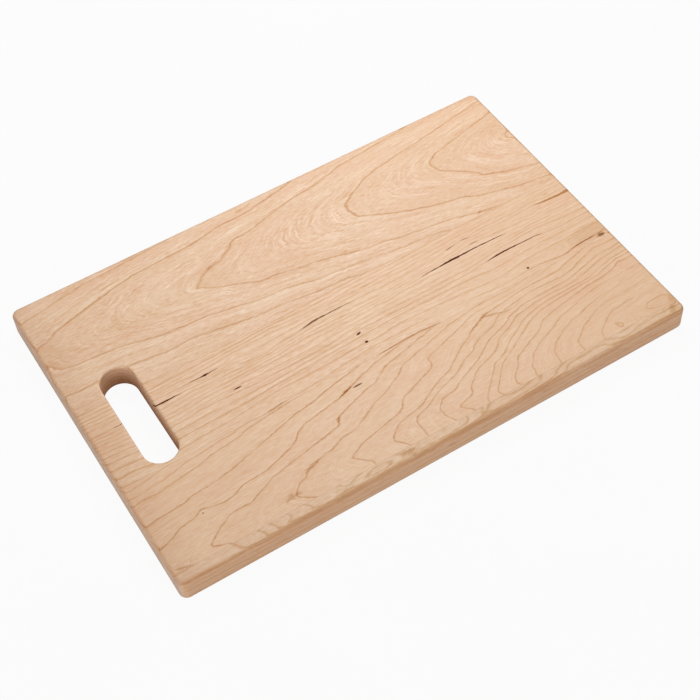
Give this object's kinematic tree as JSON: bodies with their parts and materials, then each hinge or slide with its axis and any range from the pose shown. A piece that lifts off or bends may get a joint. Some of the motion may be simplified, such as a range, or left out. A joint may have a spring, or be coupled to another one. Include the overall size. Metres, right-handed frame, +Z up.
{
  "type": "cutting board",
  "caption": "Rectangular hardwood cutting board, edge-glued from long staves, with rounded arrises and an oblong hand slot through one end.",
  "frame": {"origin": "centre of the underside, halfway along and across the board", "axes": "+Z up through the thickness; +X along the grain, away from the hand slot; +Y across the staves, from the narrow edge strip to the widest stave"},
  "size_m": [0.4444, 0.2922, 0.0222],
  "materials": {
    "wood_back": "sanded smooth and oiled, satin",
    "wood_centre": "sanded smooth and oiled, satin",
    "wood_front": "sanded smooth and oiled, satin",
    "wood_strip": "sanded smooth and oiled, satin",
    "wood_glue": "cured wood adhesive, sanded flush"
  },
  "bodies": {
    "root": {"back_stave": "wood_back", "centre_stave": "wood_centre", "front_stave": "wood_front", "edge_strip": "wood_strip", "back_glue_line": "wood_glue", "centre_glue_line": "wood_glue", "front_glue_line": "wood_glue"}
  },
  "joints": []
}
